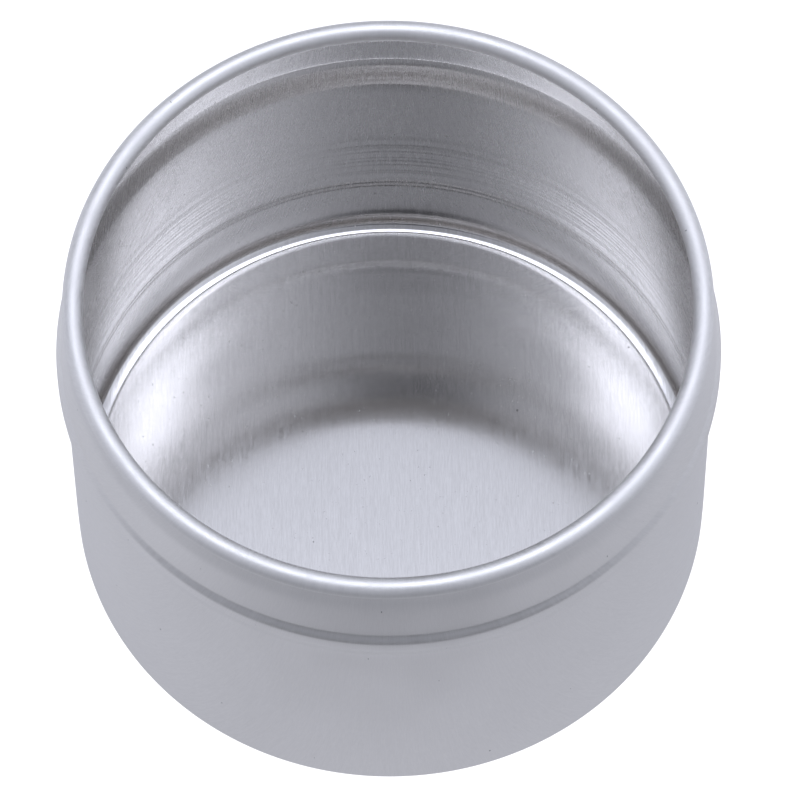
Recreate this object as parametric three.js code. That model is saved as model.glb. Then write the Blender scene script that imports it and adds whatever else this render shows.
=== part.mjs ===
// A seamless candle tin: one cup drawn from a single disc of tinned steel sheet.
// Millimetres, +Z up. The origin is the centre of the base's underside.
import * as THREE from "three";

// Driving dimensions. Every radius is to the outside of the sheet unless it says otherwise.
const SHEET = 0.3; // thickness of the metal
const HEIGHT = 50.9; // base to top of the rolled rim
const BODY_RADIUS = 38.0; // straight wall below the bead
const BASE_CORNER = 1.1; // radius at the foot of the wall
const BASE_BLEND = 4.4; // wider radius that eases it into the flat base
const BASE_BLEND_ANGLE = 26; // degrees that the wider radius turns through
const HEEL_RADIUS = 37.95; // foot of the wall, which leans in a little just above the base
const HEEL_TOP = 6.8; // height at which the wall is upright
const BEAD_RADIUS = 38.85; // raised ring that the lid's edge stops on
const NECK_FOOT_RADIUS = 38.2; // bottom of the neck, just above the bead
const RIM_CENTRE_RADIUS = 36.5; // circle that runs along the middle of the rolled rim
const RIM_ROLL_RADIUS = 1.22; // outside radius of the roll itself
const RIM_ROLL_START = -38; // where on the roll the neck joins it: 0 is its outside, 90 its top
const RIM_ROLL_END = 285; // where the sheet ends, up, inwards and down from there
const GROOVE_RADIUS = 0.35; // hollow between the neck and the roll

// Depths below the top of the rim.
const NECK_FOOT_DEPTH = 10.0;
const BEAD_TOP_DEPTH = 11.5;
const BEAD_BOTTOM_DEPTH = 12.6;
const BODY_TOP_DEPTH = 16.2;

const SEGMENTS = 64; // flats around the tin
const BLEND_STEPS = 3;
const CORNER_STEPS = 5;
const HEEL_STEPS = 3;
const BEND_STEPS = 4;
const GROOVE_STEPS = 3;
const ROLL_STEPS = 14;

// The tin is drawn as the middle line of the sheet, and then given its thickness.
const HALF = SHEET / 2;

// Points on an arc, from one angle to another in degrees. 0 points outwards and 90 points up.
function arc(centreX, centreZ, radius, from, to, steps) {
  const points = [];
  for (let i = 0; i <= steps; i += 1) {
    const angle = THREE.MathUtils.degToRad(from + ((to - from) * i) / steps);
    points.push(new THREE.Vector2(centreX + radius * Math.cos(angle), centreZ + radius * Math.sin(angle)));
  }
  return points;
}

// A smooth bend from one radius and height to another, upright at both ends, without its first point.
function bend(start, end, steps) {
  const points = [];
  for (let i = 1; i <= steps; i += 1) {
    const share = i / steps;
    const eased = share * share * (3 - 2 * share);
    const x = THREE.MathUtils.lerp(start.x, end.x, eased);
    const z = THREE.MathUtils.lerp(start.y, end.y, share);
    points.push(new THREE.Vector2(x, z));
  }
  return points;
}

// The turn from the base into the wall: a wide arc off the flat base, then a tight one.
function baseTurn() {
  const turn = THREE.MathUtils.degToRad(BASE_BLEND_ANGLE);
  const easing = BASE_BLEND - BASE_CORNER;
  const cornerX = HEEL_RADIUS - BASE_CORNER;
  const cornerZ = BASE_BLEND - easing * Math.cos(turn);
  const blendX = cornerX - easing * Math.sin(turn);
  const middle = BASE_BLEND_ANGLE - 90;
  return [
    ...arc(blendX, BASE_BLEND, BASE_BLEND - HALF, -90, middle, BLEND_STEPS),
    ...arc(cornerX, cornerZ, BASE_CORNER - HALF, middle, -4, CORNER_STEPS).slice(1),
  ];
}

// The foot of the wall, which leans and then turns upright, without its first point.
function heel(start, end, steps) {
  const points = [];
  for (let i = 1; i <= steps; i += 1) {
    const share = i / steps;
    const eased = 1 - (1 - share) ** 2;
    const x = THREE.MathUtils.lerp(start.x, end.x, eased);
    const z = THREE.MathUtils.lerp(start.y, end.y, share);
    points.push(new THREE.Vector2(x, z));
  }
  return points;
}

// The hollow under the roll: an arc about a point outside the tin, which runs smoothly into the roll.
function groove(rollStart) {
  const radius = GROOVE_RADIUS + HALF;
  const lean = THREE.MathUtils.degToRad(RIM_ROLL_START);
  const centreX = rollStart.x + radius * Math.cos(lean);
  const centreZ = rollStart.y + radius * Math.sin(lean);
  return arc(centreX, centreZ, radius, 180, 180 + RIM_ROLL_START, GROOVE_STEPS).slice(0, -1);
}

// A point on the middle line of the wall, given its outside radius and its depth below the rim's top.
function wallPoint(outsideRadius, depth) {
  return new THREE.Vector2(outsideRadius - HALF, HEIGHT - depth);
}

// The middle line of the sheet, from the centre of the base to the rolled edge.
function middleLine() {
  const bodyTop = wallPoint(BODY_RADIUS, BODY_TOP_DEPTH);
  const beadBottom = wallPoint(BEAD_RADIUS, BEAD_BOTTOM_DEPTH);
  const beadTop = wallPoint(BEAD_RADIUS, BEAD_TOP_DEPTH);
  const neckFoot = wallPoint(NECK_FOOT_RADIUS, NECK_FOOT_DEPTH);
  const rollZ = HEIGHT - RIM_ROLL_RADIUS;
  const rollRadius = RIM_ROLL_RADIUS - HALF;
  const roll = arc(RIM_CENTRE_RADIUS, rollZ, rollRadius, RIM_ROLL_START, RIM_ROLL_END, ROLL_STEPS);
  const turn = baseTurn();
  const heelTop = new THREE.Vector2(BODY_RADIUS - HALF, HEEL_TOP);
  return [
    new THREE.Vector2(0, HALF),
    ...turn,
    ...heel(turn[turn.length - 1], heelTop, HEEL_STEPS),
    bodyTop,
    ...bend(bodyTop, beadBottom, BEND_STEPS),
    beadTop,
    ...bend(beadTop, neckFoot, BEND_STEPS),
    ...groove(roll[0]),
    ...roll,
  ];
}

// The same line moved sideways by a distance: to the right of its direction if that is positive.
function offset(line, distance) {
  return line.map((point, i) => {
    const before = line[Math.max(i - 1, 0)];
    const after = line[Math.min(i + 1, line.length - 1)];
    const into = point.clone().sub(before).normalize();
    const out = after.clone().sub(point).normalize();
    const along = into.add(out).normalize();
    return new THREE.Vector2(point.x + distance * along.y, point.y - distance * along.x);
  });
}

// The closed section of the sheet, starting and ending on the axis.
function sheetSection() {
  const line = middleLine();
  const outside = offset(line, HALF);
  const inside = offset(line, -HALF).reverse();
  outside[0].x = 0;
  inside[inside.length - 1].x = 0;
  return [...outside, ...inside];
}

function tinBody() {
  const geometry = new THREE.LatheGeometry(sheetSection(), SEGMENTS);
  geometry.rotateX(Math.PI / 2); // the lathe turns about Y, and the tin stands along Z
  const metal = new THREE.MeshStandardMaterial({ color: 0xbfbfc6, roughness: 0.35, metalness: 1.0 });
  const mesh = new THREE.Mesh(geometry, metal);
  mesh.name = "tin_body";
  return mesh;
}

const candleTin = new THREE.Group();
candleTin.add(tinBody());

export default candleTin;
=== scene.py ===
"""A seamless candle tin: the looks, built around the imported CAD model."""

import math

import bpy
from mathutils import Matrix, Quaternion, Vector


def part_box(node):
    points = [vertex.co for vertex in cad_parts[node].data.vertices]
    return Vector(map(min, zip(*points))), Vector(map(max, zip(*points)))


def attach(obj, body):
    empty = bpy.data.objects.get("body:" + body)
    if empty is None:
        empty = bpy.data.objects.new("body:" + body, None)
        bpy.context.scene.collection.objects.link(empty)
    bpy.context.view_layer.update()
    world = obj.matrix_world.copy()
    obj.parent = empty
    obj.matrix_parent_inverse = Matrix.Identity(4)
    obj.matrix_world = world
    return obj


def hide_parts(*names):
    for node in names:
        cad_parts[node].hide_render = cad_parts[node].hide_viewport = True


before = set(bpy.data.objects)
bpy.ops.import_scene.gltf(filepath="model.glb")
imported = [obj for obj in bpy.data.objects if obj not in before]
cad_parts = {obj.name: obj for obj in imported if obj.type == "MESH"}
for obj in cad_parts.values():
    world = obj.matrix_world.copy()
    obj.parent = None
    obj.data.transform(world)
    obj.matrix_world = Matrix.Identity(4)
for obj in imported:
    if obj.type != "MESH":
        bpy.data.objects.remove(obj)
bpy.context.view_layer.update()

NODE = "tin_body"

# --- Dimensions -------------------------------------------------------------------------------
# The height and the scale come from the frame. The others are those of the CAD model, in
# millimetres, and every radius is to the outside of the sheet unless it says otherwise.
low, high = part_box(NODE)
BEAD_RADIUS = 38.85  # the widest place
UNIT = (high.x - low.x) / 2 / BEAD_RADIUS  # metres in one millimetre of the CAD model
HEIGHT = (high.z - low.z) / UNIT
SHEET = 0.3
HALF = SHEET / 2
BODY_RADIUS = 38.0
BASE_CORNER = 1.1
BASE_BLEND = 4.4
BASE_BLEND_ANGLE = 26
CORNER_END = -4  # degrees: where the tight corner stops on its arc, 0 being upright
HEEL_RADIUS = 37.95
HEEL_TOP = 6.8
NECK_FOOT_RADIUS = 38.2
RIM_CENTRE_RADIUS = 36.5  # circle along the middle of the rolled rim
RIM_ROLL_RADIUS = 1.22
RIM_ROLL_START = -38
RIM_ROLL_END = 300
GROOVE_RADIUS = 0.35

# Depths below the top of the rim.
NECK_FOOT_DEPTH = 10.0
BEAD_TOP_DEPTH = 11.5
BEAD_BOTTOM_DEPTH = 12.6
BODY_TOP_DEPTH = 16.2

# How many pieces each stretch of the profile is cut into, and the whole tin around its axis.
BASE_STEPS = 20
BLEND_STEPS = 8
CORNER_STEPS = 12
HEEL_STEPS = 8
WALL_STEPS = 14
BEND_STEPS = 8
BEAD_STEPS = 2
NECK_STEPS = 6
GROOVE_STEPS = 5
ROLL_STEPS = 34
SEGMENTS = 384

# --- Finish -------------------------------------------------------------------------------------
# Places are millimetres along the sheet from the centre of the base: the foot of the wall is at
# 38, the bead at 76 and the rim's roll at 86 to 93. A ramp is (from, to, value before, value after).
STREAKS = (2.6, 0.16, 1.0)  # noise stretched along the blank's Y, the way the sheet was rolled
FINE_STREAKS = (6.5, 0.65, 1.0)
CLOUDS = (0.06, 0.06, 1.0)
SPECKS = (3.4, 1.7, 1.0)
SPECK_EDGES = (0.70, 0.77)
PITS = (0.055, 0.055, 1.0)
PIT_EDGE = (0.006, 0.013, 1, 0)
SMALLEST_PIT = 0.1
PIT_STRENGTH = 0.8
STREAK_SHARE = 0.45
FINE_SHARE = 0.55
NOISE_MIDDLE = (0.3, 0.7)  # the range that most of a noise texture's values fall in

INNER_ROUGHNESS = (38.5, 44.0, 0.13, 0.25)  # floor, then wall
OUTER_ROUGHNESS = (82.5, 84.5, 0.43, 0.57)  # wall, then rim
ROUGHNESS_BY_LINES = (*NOISE_MIDDLE, 0.8, 1.2)
ROUGHNESS_BY_CLOUDS = (*NOISE_MIDDLE, 0.92, 1.08)
SPECK_ROUGHNESS = 0.22
OUTER_METALLIC = (82.5, 84.5, 0.88, 0.62)  # wall, then rim
CREST_METALLIC = (87.2, 88.4, 0.0, 0.33)  # added over the roll, in full from its top inwards
ANISOTROPY = (0.0, 1.0, 0.2, 0.92)  # outside, then inside

INNER_DARK = (0.75, 0.735, 0.72, 1)
INNER_LIGHT = (0.88, 0.865, 0.85, 1)
OUTER_DARK = (0.88, 0.87, 0.855, 1)
OUTER_LIGHT = (0.95, 0.94, 0.925, 1)
PIT_COLOUR = (0.10, 0.10, 0.10, 1)

RIPPLE_SCALE = 0.95
RIPPLE_START = (47, 51)  # faint drawing rings, low on the inside wall
RIPPLE_END = (54, 61, 1, 0)
RING_PLACES = (47.1, 48.0)  # two clearer rings
RING_PROFILE = (0.05, 0.38, 0.55, 0.0)
RING_RELIEF = {"Strength": 1.0, "Distance": 0.00016}
STREAK_RELIEF = {"Strength": 0.09, "Distance": 0.00002}

# --- Stage settings -----------------------------------------------------------------------------
FLOOR_SIZE = 8.0
FLOOR_HEIGHT = -0.0002
TABLE_SIZE = 1.6
TABLE_HEIGHT = -0.0001
# The table card glows with the table's light and shade painted on: a tint, and a strength by place,
# darker far in front of the tin and lighter near it, behind it and to its left.
TABLE_TINT = (0.95, 0.97, 1.085, 1)
TABLE_FRONT = (-0.105, -0.054, 0.16, 0.51)  # by Y in metres
TABLE_BACK = (0.0, 0.07, 0.0, 0.17)  # by Y, added to that
TABLE_SIDE = (-0.060, -0.020, 1.12, 1.0)  # by X, a factor

STUDIO_TINT = (0.925, 0.965, 1.11, 1)
STUDIO_BASE = 0.24
# Azimuth, elevation, half width and half height in degrees, the share of the oval that is at full
# strength, and the strength. A negative strength makes the room darker there.
STUDIO_LIGHTS = [
    (90, 84, 36, 17, 0.72, 1.90),  # overhead
    (90, 81, 40, 24, 0.25, 0.98),  # around it
    (346, 36, 60, 62, 0.25, 0.59),  # right
    (192, 34, 60, 56, 0.25, 0.44),  # left
    (90, 56, 55, 32, 0.25, 0.28),  # behind
    (62, 34, 48, 30, 0.25, 0.30),  # low behind, to the right
    (270, 18, 50, 18, 0.25, 0.04),  # low in front
    (258, 47, 36, 16, 0.25, -0.18),  # the gap above that
]
OPPOSITE_FALLOFF = 10.0  # keeps a light out of the opposite side of the room

# The camera was fitted to the outlines of the rim, bead, wall and base in the photograph.
CAMERA_LENS = 323.2
CAMERA_SENSOR = 36.0
CAMERA_DISTANCE = 0.829
CAMERA_ELEVATION = math.radians(61.87)
CAMERA_AIM_X = 0.00127
CAMERA_ROLL = -0.555
CAMERA_CLIP = (0.01, 20.0)
CAMERA_AWAY = CAMERA_DISTANCE * Vector((0, -math.cos(CAMERA_ELEVATION), math.sin(CAMERA_ELEVATION)))

GLOSSY_BOUNCES = 12


# --- The sheet's middle line --------------------------------------------------------------------
def arc(centre_r, centre_z, radius, start, end, steps):
    """Points on an arc, from one angle to another in degrees. 0 points outwards and 90 up."""
    points = []
    for i in range(steps + 1):
        angle = math.radians(start + (end - start) * i / steps)
        points.append((centre_r + radius * math.cos(angle), centre_z + radius * math.sin(angle)))
    return points


def straight(start, end, steps):
    """Points on a line, without its first point."""
    return [
        tuple(a + (b - a) * i / steps for a, b in zip(start, end)) for i in range(1, steps + 1)
    ]


def eased_line(start, end, steps, ease):
    """Points from start to end, with the radius eased and the height even, without the first."""
    points = []
    for i in range(1, steps + 1):
        share = i / steps
        radius = start[0] + (end[0] - start[0]) * ease(share)
        points.append((radius, start[1] + (end[1] - start[1]) * share))
    return points


def bend(start, end, steps):
    """A smooth step from one radius to another, upright at both ends."""
    return eased_line(start, end, steps, lambda share: share * share * (3 - 2 * share))


def heel(start, end, steps):
    """The foot of the wall: it leans in a little and turns upright."""
    return eased_line(start, end, steps, lambda share: 1 - (1 - share) ** 2)


def base_turn():
    """From the base into the wall: a wide arc off the flat base, then a tight one."""
    turn = math.radians(BASE_BLEND_ANGLE)
    easing = BASE_BLEND - BASE_CORNER
    corner_r = HEEL_RADIUS - BASE_CORNER
    corner_z = BASE_BLEND - easing * math.cos(turn)
    blend_r = corner_r - easing * math.sin(turn)
    middle = BASE_BLEND_ANGLE - 90
    wide = arc(blend_r, BASE_BLEND, BASE_BLEND - HALF, -90, middle, BLEND_STEPS)
    tight = arc(corner_r, corner_z, BASE_CORNER - HALF, middle, CORNER_END, CORNER_STEPS)
    return wide + tight[1:]


def groove(roll_start):
    """The hollow under the roll: an arc about a point outside the tin, which meets the roll."""
    radius = GROOVE_RADIUS + HALF
    lean = math.radians(RIM_ROLL_START)
    centre_r = roll_start[0] + radius * math.cos(lean)
    centre_z = roll_start[1] + radius * math.sin(lean)
    return arc(centre_r, centre_z, radius, 180, 180 + RIM_ROLL_START, GROOVE_STEPS)


def wall_point(outside_radius, depth):
    """A point on the middle line, from its outside radius and its depth below the rim's top."""
    return (outside_radius - HALF, HEIGHT - depth)


def middle_line():
    """The middle of the sheet, from the centre of the base to the rolled edge, as (radius, height)."""
    corner = base_turn()
    heel_top = (BODY_RADIUS - HALF, HEEL_TOP)
    body_top = wall_point(BODY_RADIUS, BODY_TOP_DEPTH)
    bead_bottom = wall_point(BEAD_RADIUS, BEAD_BOTTOM_DEPTH)
    bead_top = wall_point(BEAD_RADIUS, BEAD_TOP_DEPTH)
    neck_foot = wall_point(NECK_FOOT_RADIUS, NECK_FOOT_DEPTH)
    roll_z = HEIGHT - RIM_ROLL_RADIUS
    roll_radius = RIM_ROLL_RADIUS - HALF
    roll = arc(
        RIM_CENTRE_RADIUS, roll_z, roll_radius, RIM_ROLL_START, RIM_ROLL_END, ROLL_STEPS
    )
    hollow = groove(roll[0])
    line = [(0.0, HALF)]
    line += straight(line[-1], corner[0], BASE_STEPS)[:-1]
    line += corner
    line += heel(corner[-1], heel_top, HEEL_STEPS)
    line += straight(heel_top, body_top, WALL_STEPS)
    line += bend(body_top, bead_bottom, BEND_STEPS)
    line += straight(bead_bottom, bead_top, BEAD_STEPS)
    line += bend(bead_top, neck_foot, BEND_STEPS)
    line += straight(neck_foot, hollow[0], NECK_STEPS)
    line += hollow[1:-1]
    line += roll
    return line


def offset(line, distance):
    """The line moved to the right of its direction by a distance."""
    moved = []
    for i, (r, z) in enumerate(line):
        before = Vector(line[max(i - 1, 0)])
        after = Vector(line[min(i + 1, len(line) - 1)])
        here = Vector((r, z))
        along = (here - before).normalized() + (after - here).normalized()
        along.normalize()
        moved.append((r + distance * along.y, z - distance * along.x))
    return moved


def directions(line):
    """The direction of the line at each point."""
    out = []
    for i in range(len(line)):
        ahead = Vector(line[min(i + 1, len(line) - 1)]) - Vector(line[max(i - 1, 0)])
        out.append(ahead.normalized())
    return out


def lengths(line):
    """How far each point is along the line."""
    out = [0.0]
    for a, b in zip(line, line[1:]):
        out.append(out[-1] + math.dist(a, b))
    return out


# --- Mesh ---------------------------------------------------------------------------------------
def revolved_sheet(name):
    """The whole tin as one closed sheet. The attribute "blank" says where each point was on the flat
    disc that the tin was drawn from, so that the sheet's rolling marks run as they do on drawn metal.
    Its Z is 0 outside and 1 inside. The attribute "across" points across those marks."""
    line = middle_line()
    along = lengths(line)
    heads = directions(line)
    outside = offset(line, HALF)
    inside = offset(line, -HALF)
    rows = [(p, s, h, 0.0) for p, s, h in zip(outside[1:], along[1:], heads[1:])]
    rows += [(p, s, h, 1.0) for p, s, h in reversed(list(zip(inside[1:], along[1:], heads[1:])))]
    vertices = []
    blank = []
    across = []
    for (r, z), s, head, side in rows:
        for k in range(SEGMENTS):
            angle = 2 * math.pi * k / SEGMENTS
            c, sn = math.cos(angle), math.sin(angle)
            vertices.append((r * c * UNIT, r * sn * UNIT, z * UNIT))
            blank.append((s * c, s * sn, side))
            across.append((head.x * c * c + sn * sn, (head.x - 1) * c * sn, head.y * c))
    faces = []
    for i in range(len(rows) - 1):
        for k in range(SEGMENTS):
            a = i * SEGMENTS + k
            b = i * SEGMENTS + (k + 1) % SEGMENTS
            faces.append((a, b, b + SEGMENTS, a + SEGMENTS))
    first, last = len(vertices), len(vertices) + 1
    vertices += [(0, 0, 0), (0, 0, SHEET * UNIT)]
    blank += [(0, 0, 0.0), (0, 0, 1.0)]
    across += [(1, 0, 0), (1, 0, 0)]
    top = (len(rows) - 1) * SEGMENTS
    for k in range(SEGMENTS):
        n = (k + 1) % SEGMENTS
        faces.append((first, n, k))
        faces.append((last, top + k, top + n))
    mesh = bpy.data.meshes.new(name)
    mesh.from_pydata(vertices, [], faces)
    mesh.validate()
    for label, values in (("blank", blank), ("across", across)):
        layer = mesh.attributes.new(label, "FLOAT_VECTOR", "POINT")
        layer.data.foreach_set("vector", [v for point in values for v in point])
    mesh.polygons.foreach_set("use_smooth", [True] * len(mesh.polygons))
    obj = bpy.data.objects.new(name, mesh)
    bpy.context.scene.collection.objects.link(obj)
    return obj


# --- Materials ----------------------------------------------------------------------------------
class Tree:
    """A short way to write node trees."""

    def __init__(self, tree):
        self.tree = tree
        tree.nodes.clear()

    def node(self, kind, values=None, **settings):
        made = self.tree.nodes.new(kind)
        for key, value in settings.items():
            setattr(made, key, value)
        for socket, value in (values or {}).items():
            self.put(made.inputs[socket], value)
        return made

    def put(self, socket, value):
        if isinstance(value, bpy.types.NodeSocket):
            self.tree.links.new(value, socket)
        else:
            socket.default_value = value

    def math(self, operation, a, b=0.0):
        return self.node("ShaderNodeMath", {0: a, 1: b}, operation=operation).outputs[0]

    def ramp(self, value, low, high, to_low=0.0, to_high=1.0):
        return self.node(
            "ShaderNodeMapRange",
            {"Value": value, "From Min": low, "From Max": high, "To Min": to_low, "To Max": to_high},
            interpolation_type="SMOOTHSTEP",
        ).outputs["Result"]

    def noise(self, vector, scale, detail=2.0, roughness=0.5):
        return self.node(
            "ShaderNodeTexNoise",
            {"Vector": vector, "Scale": scale, "Detail": detail, "Roughness": roughness},
        ).outputs["Fac"]

    def stretch(self, vector, scale):
        return self.node("ShaderNodeVectorMath", {0: vector, 1: scale}, operation="MULTIPLY").outputs[0]

    def mix(self, factor, first, second):
        """Two colours mixed. A mix node's colour inputs are 6 and 7, and its colour output is 2."""
        values = {"Factor": factor, 6: first, 7: second}
        return self.node("ShaderNodeMix", values, data_type="RGBA").outputs[2]


def tin_metal():
    """Tinplate, satin outside and brighter inside: fine rolling streaks along the blank's Y."""
    material = bpy.data.materials.new("tin_metal")
    material.use_nodes = True
    t = Tree(material.node_tree)
    blank = t.node("ShaderNodeAttribute", attribute_name="blank").outputs["Vector"]
    inner = t.node("ShaderNodeSeparateXYZ", {0: blank}).outputs["Z"]
    flat = t.stretch(blank, (1.0, 1.0, 0.0))
    streak = t.noise(t.stretch(flat, STREAKS), 1.0, 3.0, 0.6)
    fine = t.noise(t.stretch(flat, FINE_STREAKS), 1.0, 2.0, 0.6)
    cloud = t.noise(t.stretch(flat, CLOUDS), 1.0, 2.0, 0.5)
    coarse_part = t.math("MULTIPLY", streak, STREAK_SHARE)
    lines = t.math("ADD", coarse_part, t.math("MULTIPLY", fine, FINE_SHARE))
    along = t.node("ShaderNodeVectorMath", {0: flat}, operation="LENGTH").outputs["Value"]

    drawn = t.ramp(along, *INNER_ROUGHNESS)
    outside = t.math("SUBTRACT", 1.0, inner)
    satin = t.math("MULTIPLY", outside, t.ramp(along, *OUTER_ROUGHNESS))
    rough = t.math("ADD", t.math("MULTIPLY", inner, drawn), satin)
    rough = t.math("MULTIPLY", rough, t.ramp(lines, *ROUGHNESS_BY_LINES))
    rough = t.math("MULTIPLY", rough, t.ramp(cloud, *ROUGHNESS_BY_CLOUDS))
    metallic = t.math("ADD", t.ramp(along, *OUTER_METALLIC), t.ramp(along, *CREST_METALLIC))
    speck = t.ramp(t.noise(t.stretch(flat, SPECKS), 1.0, 1.0, 0.5), *SPECK_EDGES)
    rough = t.math("ADD", rough, t.math("MULTIPLY", speck, t.math("MULTIPLY", inner, SPECK_ROUGHNESS)))

    spots = t.node(
        "ShaderNodeTexVoronoi",
        {"Vector": t.stretch(flat, PITS), "Scale": 1.0},
        voronoi_dimensions="2D",
    )
    size = t.node("ShaderNodeSeparateXYZ", {0: spots.outputs["Color"]}).outputs["X"]
    reach = t.math("DIVIDE", spots.outputs["Distance"], t.math("MAXIMUM", size, SMALLEST_PIT))
    pit = t.ramp(reach, *PIT_EDGE)
    inner_tint = t.mix(t.ramp(lines, *NOISE_MIDDLE), INNER_DARK, INNER_LIGHT)
    outer_tint = t.mix(t.ramp(lines, *NOISE_MIDDLE), OUTER_DARK, OUTER_LIGHT)
    tint = t.mix(inner, outer_tint, inner_tint)
    tint = t.mix(t.math("MULTIPLY", pit, PIT_STRENGTH), tint, PIT_COLOUR)

    ripple = t.noise(t.node("ShaderNodeCombineXYZ", {0: along}).outputs[0], RIPPLE_SCALE, 1.0, 0.5)
    band = t.math("MULTIPLY", t.ramp(along, *RIPPLE_START), t.ramp(along, *RIPPLE_END))
    rings = t.math("MULTIPLY", ripple, band)
    for place in RING_PLACES:
        off = t.math("ABSOLUTE", t.math("SUBTRACT", along, place))
        rings = t.math("ADD", rings, t.ramp(off, *RING_PROFILE))
    bump = t.node(
        "ShaderNodeBump", {**RING_RELIEF, "Height": t.math("MULTIPLY", rings, inner)}
    ).outputs["Normal"]
    bump = t.node(
        "ShaderNodeBump", {**STREAK_RELIEF, "Height": lines, "Normal": bump}
    ).outputs["Normal"]

    shader = t.node(
        "ShaderNodeBsdfPrincipled",
        {
            "Base Color": tint,
            "Metallic": t.math("MAXIMUM", inner, metallic),
            "Roughness": rough,
            "Anisotropic": t.ramp(inner, *ANISOTROPY),
            "Tangent": t.node("ShaderNodeAttribute", attribute_name="across").outputs["Vector"],
            "Normal": bump,
        },
    )
    out = t.node("ShaderNodeOutputMaterial")
    t.tree.links.new(shader.outputs[0], out.inputs["Surface"])
    return material


def plain_floor():
    """The white ground that the camera sees."""
    material = bpy.data.materials.new("floor")
    material.use_nodes = True
    t = Tree(material.node_tree)
    diffuse = t.node("ShaderNodeBsdfDiffuse", {"Color": (0.5, 0.5, 0.5, 1)}).outputs[0]
    glow = t.node("ShaderNodeEmission", {"Color": (1, 1, 1, 1), "Strength": 1.0}).outputs[0]
    both = t.node("ShaderNodeAddShader", {0: diffuse, 1: glow}).outputs[0]
    out = t.node("ShaderNodeOutputMaterial")
    t.tree.links.new(both, out.inputs["Surface"])
    return material


def table_card_material():
    """The table as the tin reflects it, a glowing card with the table's light and shade painted on:
    lighter behind and beside the tin than in front of it.
    """
    material = bpy.data.materials.new("table_card")
    material.use_nodes = True
    t = Tree(material.node_tree)
    place = t.node("ShaderNodeNewGeometry").outputs["Position"]
    split = t.node("ShaderNodeSeparateXYZ", {0: place})
    near = t.ramp(split.outputs["Y"], *TABLE_FRONT)
    behind = t.ramp(split.outputs["Y"], *TABLE_BACK)
    side = t.ramp(split.outputs["X"], *TABLE_SIDE)
    # Painted light and shade: the glow's strength is set by where the card lies around the tin.
    level = t.math("MULTIPLY", t.math("ADD", near, behind), side)
    glow = t.node("ShaderNodeEmission", {"Color": TABLE_TINT, "Strength": level}).outputs[0]
    out = t.node("ShaderNodeOutputMaterial")
    t.tree.links.new(glow, out.inputs["Surface"])
    return material


# --- Stage --------------------------------------------------------------------------------------
def plane(name, size, z, material):
    """A square of the stage, level and centred on the axis."""
    mesh = bpy.data.meshes.new(name)
    half = size / 2
    mesh.from_pydata(
        [(-half, -half, z), (half, -half, z), (half, half, z), (-half, half, z)], [], [(0, 1, 2, 3)]
    )
    mesh.materials.append(material)
    obj = bpy.data.objects.new(name, mesh)
    bpy.context.scene.collection.objects.link(obj)
    return obj


def heading(azimuth, elevation):
    """A direction from degrees: azimuth from +X towards +Y, and elevation."""
    a, e = math.radians(azimuth), math.radians(elevation)
    return Vector((math.cos(e) * math.cos(a), math.cos(e) * math.sin(a), math.sin(e)))


def studio():
    """A dim room with soft lights in it. Each light is a soft oval around its own direction."""
    world = bpy.data.worlds.new("studio")
    bpy.context.scene.world = world
    world.use_nodes = True
    t = Tree(world.node_tree)
    ray = t.node("ShaderNodeTexCoord").outputs["Generated"]

    def along(direction):
        return t.node(
            "ShaderNodeVectorMath", {0: ray, 1: direction}, operation="DOT_PRODUCT"
        ).outputs["Value"]

    level = STUDIO_BASE
    for azimuth, elevation, half_width, half_height, core, strength in STUDIO_LIGHTS:
        width = math.sin(math.radians(half_width))
        height = math.sin(math.radians(half_height))
        across = t.math("DIVIDE", along(heading(azimuth + 90, 0)), width)
        up = t.math("DIVIDE", along(heading(azimuth, elevation + 90)), height)
        squares = t.math("ADD", t.math("MULTIPLY", across, across), t.math("MULTIPLY", up, up))
        far = t.math("SQRT", squares)
        opposite = t.math("MULTIPLY", along(heading(azimuth, elevation)), -1.0)
        behind = t.math("MULTIPLY", t.math("MAXIMUM", opposite, 0.0), OPPOSITE_FALLOFF)
        oval = t.ramp(t.math("ADD", far, behind), core, 1.0, strength, 0.0)
        level = t.math("ADD", level, oval)
    background = t.node("ShaderNodeBackground", {"Color": STUDIO_TINT, "Strength": level})
    out = t.node("ShaderNodeOutputWorld")
    t.tree.links.new(background.outputs[0], out.inputs["Surface"])


def make_camera():
    """The photograph's camera, placed from the centre of the rim."""
    data = bpy.data.cameras.new("camera")
    data.lens = CAMERA_LENS
    data.sensor_width = CAMERA_SENSOR
    camera = bpy.data.objects.new("camera", data)
    bpy.context.scene.collection.objects.link(camera)
    rim_centre = Vector((0, 0, high.z))
    camera.location = rim_centre + CAMERA_AWAY
    aim = Vector((CAMERA_AIM_X, 0, (low.z + high.z) / 2))
    look = (aim - camera.location).to_track_quat("-Z", "Y")
    camera.rotation_mode = "QUATERNION"
    camera.rotation_quaternion = look @ Quaternion((0, 0, 1), math.radians(CAMERA_ROLL))
    data.clip_start, data.clip_end = CAMERA_CLIP
    bpy.context.scene.camera = camera


# --- The scene ----------------------------------------------------------------------------------
tin = revolved_sheet("tin_body_sheet")
tin.data.materials.append(tin_metal())
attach(tin, "root")
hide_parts(NODE)

# The camera sees the white floor, and the tin's reflections see the table card, which glows with
# painted light and shade.
floor = plane("floor", FLOOR_SIZE, FLOOR_HEIGHT, plain_floor())
floor.visible_glossy = False
floor.visible_diffuse = False
table_card = plane("table_card", TABLE_SIZE, TABLE_HEIGHT, table_card_material())
table_card.visible_camera = False
table_card.visible_shadow = False

studio()
make_camera()

scene = bpy.context.scene
scene.view_settings.view_transform = "Standard"
scene.cycles.glossy_bounces = GLOSSY_BOUNCES
